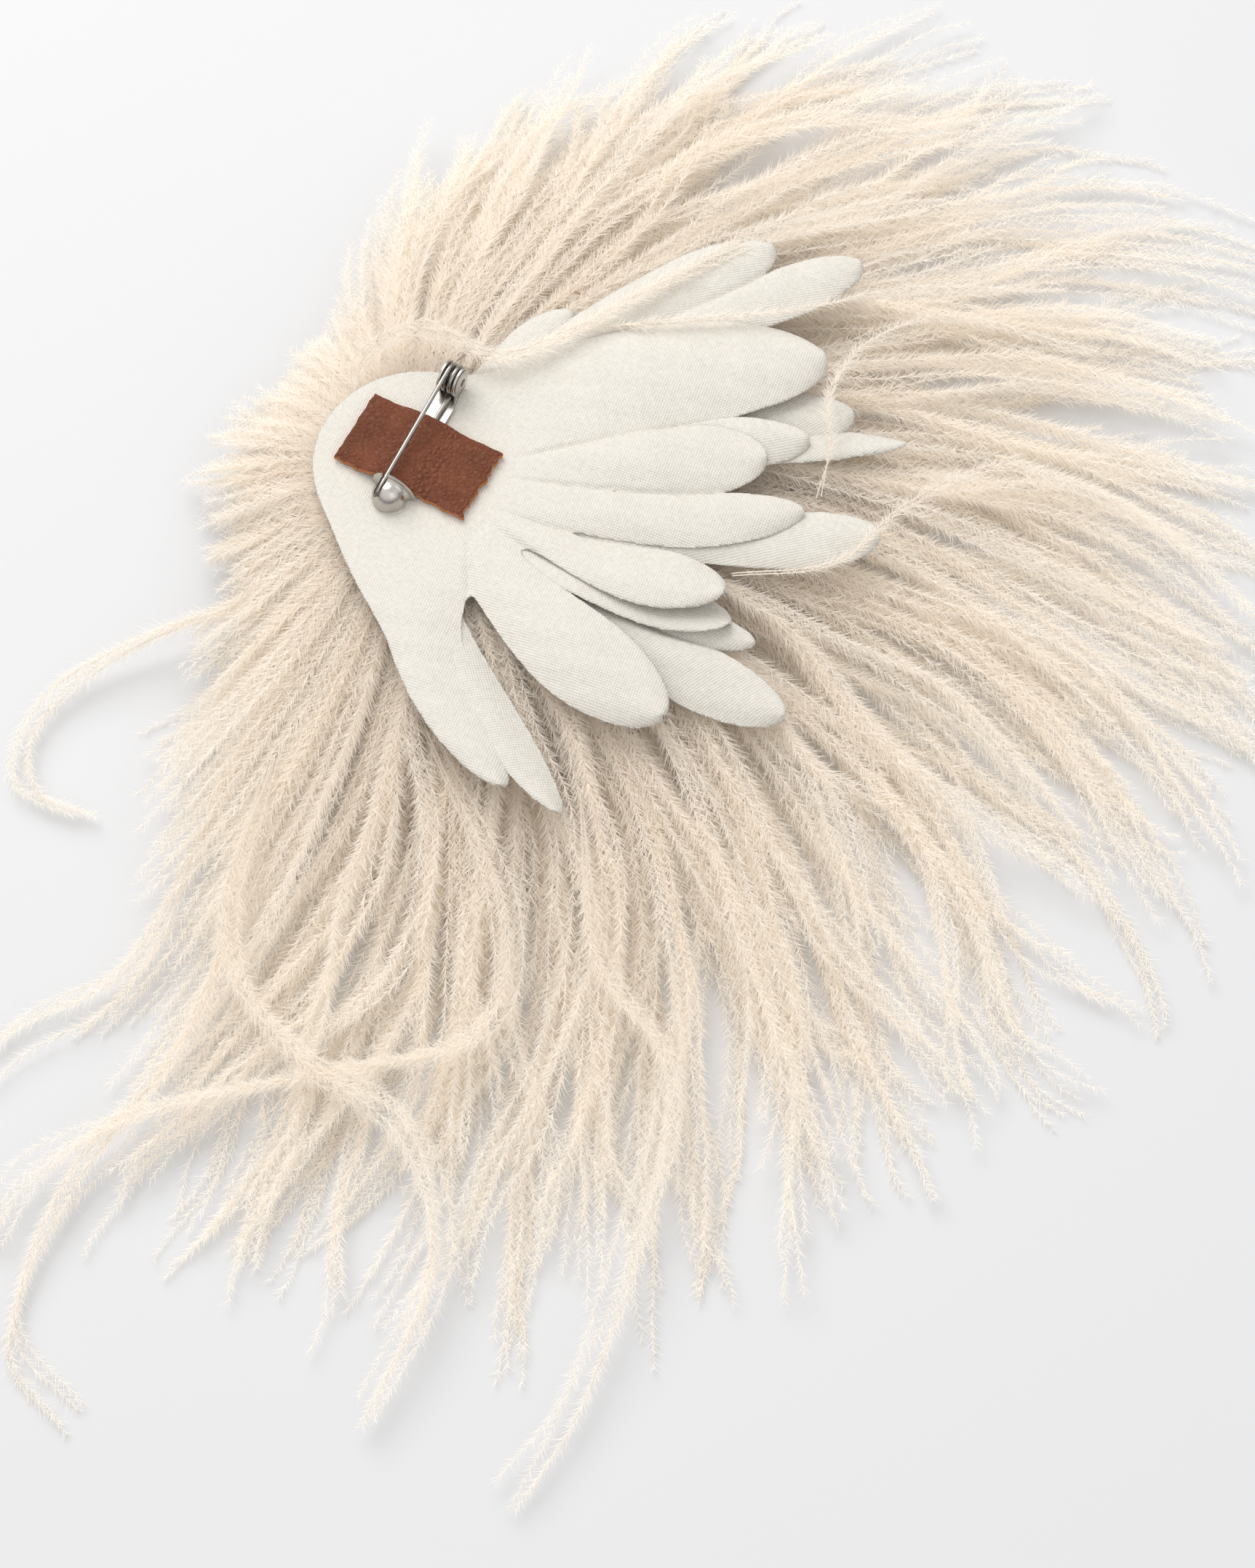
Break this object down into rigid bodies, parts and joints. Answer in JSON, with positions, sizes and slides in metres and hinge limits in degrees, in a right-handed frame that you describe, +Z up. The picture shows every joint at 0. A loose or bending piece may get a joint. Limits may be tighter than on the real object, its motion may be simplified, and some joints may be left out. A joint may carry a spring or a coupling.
{
  "type": "feather brooch",
  "caption": "Brooch of ostrich feather fanned out from a lobed satin back, with a leather tab that holds a sprung metal pin. It lies face down.",
  "frame": {"origin": "on the surface that the brooch lies on, straight below the middle of the pin", "axes": "+Z up, away from the face and out of the brooch's back; the long plumes fan from +Y clockwise round to -Y and -X; the needle points to about -118 degrees from +X"},
  "size_m": [0.2923, 0.343, 0.0358],
  "materials": {
    "nickel": "polished nickel plate",
    "leather": "fine pebbled grain, raw cut edges",
    "satin": "satin weave, soft sheen",
    "felt": "matt wool felt",
    "feather": "soft ostrich barbs, matt"
  },
  "bodies": {
    "brooch": {"pin_base": "nickel", "hinge_rivet": "nickel", "spring_leg": "nickel", "leather_tab": "leather", "satin_upper_layer": "satin", "satin_middle_layer": "satin", "satin_lower_layer": "satin", "felt_pad": "felt", "face_felt": "felt", "long_plume_1": "feather", "long_plume_2": "feather", "long_plume_3": "feather", "long_plume_4": "feather", "long_plume_5": "feather", "long_plume_6": "feather", "long_plume_7": "feather", "long_plume_8": "feather", "long_plume_9": "feather", "long_plume_10": "feather", "long_plume_11": "feather", "long_plume_12": "feather", "long_plume_13": "feather", "long_plume_14": "feather", "short_plume_1": "feather", "short_plume_2": "feather", "short_plume_3": "feather", "short_plume_4": "feather", "short_plume_5": "feather", "short_plume_6": "feather", "short_plume_7": "feather", "face_ruff": "feather"},
    "needle": {"pin_needle": "nickel"}
  },
  "joints": [
    {"name": "needle_hinge", "type": "hinge", "parent": "brooch", "child": "needle", "pos_m": [0.00723, 0.0136, 0.0324], "axis": [-0.8829, 0.4695, 0], "range_deg": [0, 70]}
  ]
}
